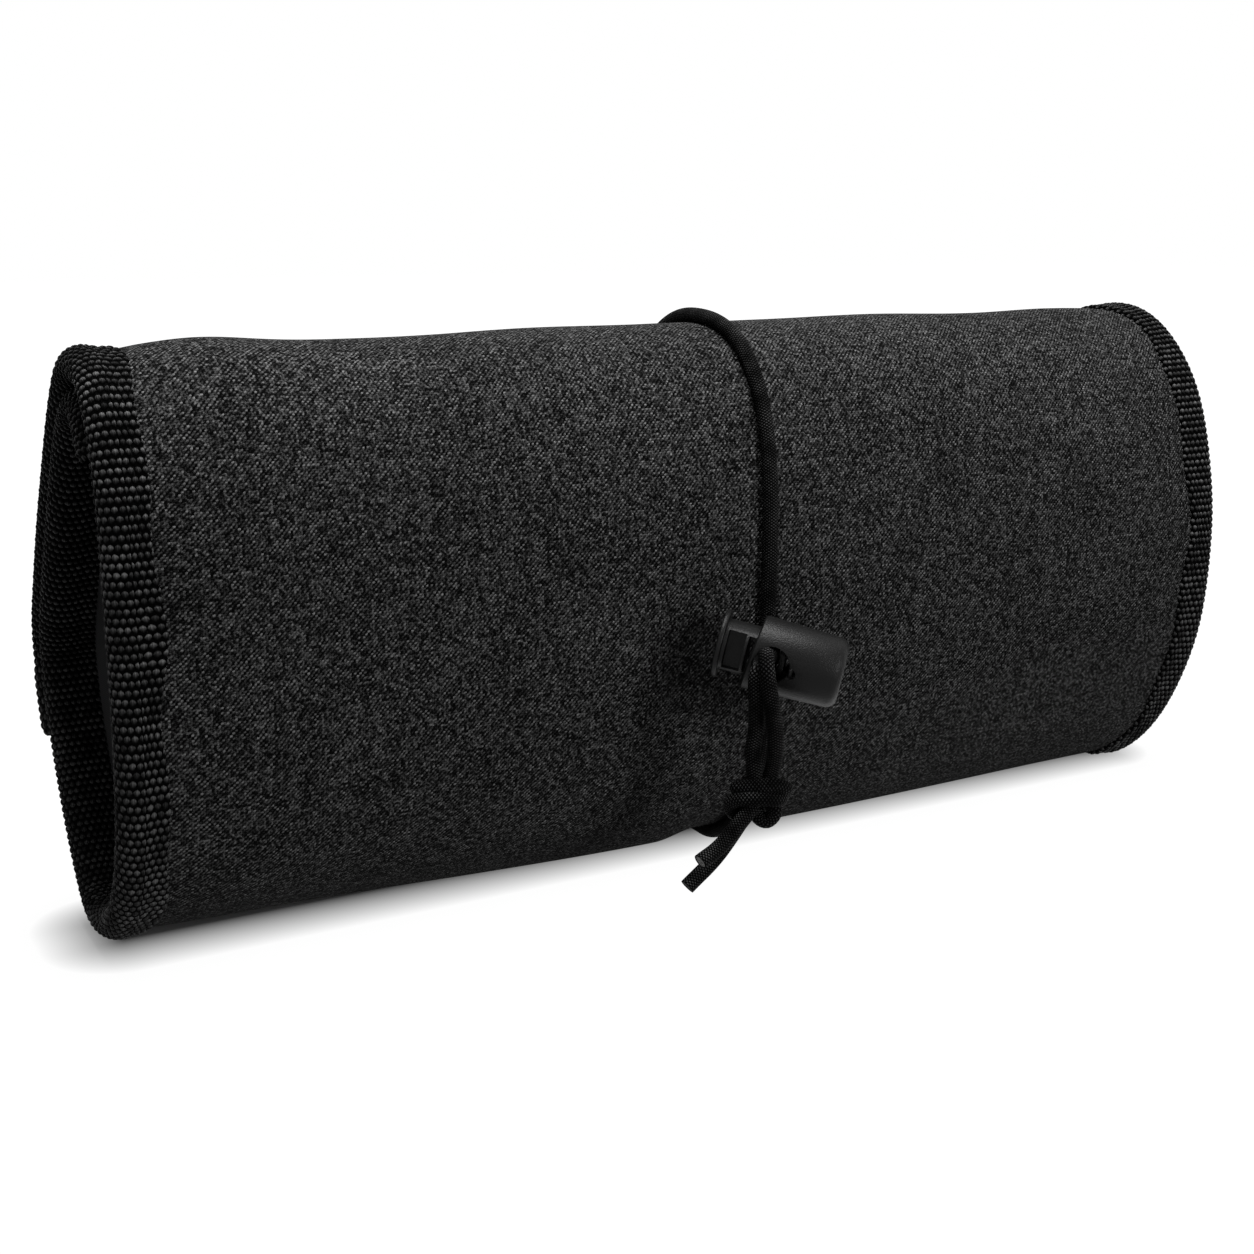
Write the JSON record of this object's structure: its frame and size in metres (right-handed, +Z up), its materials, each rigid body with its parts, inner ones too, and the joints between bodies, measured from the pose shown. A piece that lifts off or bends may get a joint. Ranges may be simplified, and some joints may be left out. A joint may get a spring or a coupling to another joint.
{
  "type": "roll-up organizer",
  "caption": "Soft padded roll-up organizer with webbing-bound edges and an opening flap, held shut by an elastic cord loop with a barrel cord lock and a knotted tail.",
  "frame": {"origin": "centre of the roll's footprint, on the surface that it stands on", "axes": "+X along the roll, +Z up, and the cord lock on the -Y side, which is the front"},
  "size_m": [0.244, 0.0947, 0.1091],
  "materials": {
    "fabric": "charcoal heather woven polyester, matte",
    "foam": "thin foam padding inside the sheet",
    "lining": "smooth dark grey lining",
    "pocket": "dark grey pocket fabric",
    "webbing": "black coarse grosgrain webbing",
    "elastic": "black woven elastic band",
    "cord": "black braided elastic cord",
    "plastic": "black moulded plastic, satin",
    "steel": "bright spring steel"
  },
  "bodies": {
    "roll": {"outer_fabric": "fabric", "foam_padding": "foam", "inner_lining": "lining", "binding_left": "webbing", "binding_right": "webbing", "binding_inner_end": "webbing", "pocket_panel": "pocket", "pocket_hem": "webbing", "elastic_loop_band": "elastic"},
    "flap_1": {"flap_1_fabric": "fabric", "flap_1_foam": "foam", "flap_1_lining": "lining", "flap_1_binding_left": "webbing", "flap_1_binding_right": "webbing"},
    "flap_2": {"flap_2_fabric": "fabric", "flap_2_foam": "foam", "flap_2_lining": "lining", "flap_2_binding_left": "webbing", "flap_2_binding_right": "webbing"},
    "flap_3": {"flap_3_fabric": "fabric", "flap_3_foam": "foam", "flap_3_lining": "lining", "flap_3_binding_left": "webbing", "flap_3_binding_right": "webbing", "flap_binding_end": "webbing"},
    "closure": {"cord_loop": "cord"},
    "lock": {"cord_lock_barrel": "plastic", "cord_lock_spring": "steel", "tail_strand_right": "cord", "tail_strand_left": "cord", "tail_knot": "cord", "tail_end_long": "cord", "tail_end_short": "cord"},
    "button": {"cord_lock_plunger": "plastic"}
  },
  "joints": [
    {"name": "closure_slide", "type": "slide", "parent": "roll", "child": "closure", "axis": [1, 0, 0], "range_m": [0, 0.15], "deforming": ["cord_loop"]},
    {"name": "flap_1_fold", "type": "hinge", "parent": "roll", "child": "flap_1", "pos_m": [0, -0.02197, 0.10025], "axis": [1, 0, 0], "range_deg": [0, 50]},
    {"name": "flap_2_fold", "type": "hinge", "parent": "flap_1", "child": "flap_2", "pos_m": [0, -0.00047, 0.10781], "axis": [1, 0, 0], "range_deg": [0, 50]},
    {"name": "flap_3_fold", "type": "hinge", "parent": "flap_2", "child": "flap_3", "pos_m": [0, 0.01843, 0.0984], "axis": [1, 0, 0], "range_deg": [0, 50]},
    {"name": "lock_slide", "type": "slide", "parent": "closure", "child": "lock", "axis": [-0.6428, -0.766, 0], "range_m": [0, 0.006]},
    {"name": "button_press", "type": "slide", "parent": "lock", "child": "button", "axis": [0.7476, -0.6273, -0.2181], "range_m": [0, 0.0026], "stiffness_N_per_m": 350, "deforming": ["cord_lock_spring"]}
  ],
  "couplings": [
    {"joint": "flap_1_fold", "follows": "closure_slide", "rad_per_m": 5.8178},
    {"joint": "flap_2_fold", "follows": "closure_slide", "rad_per_m": 5.8178},
    {"joint": "flap_3_fold", "follows": "closure_slide", "rad_per_m": 5.8178}
  ]
}
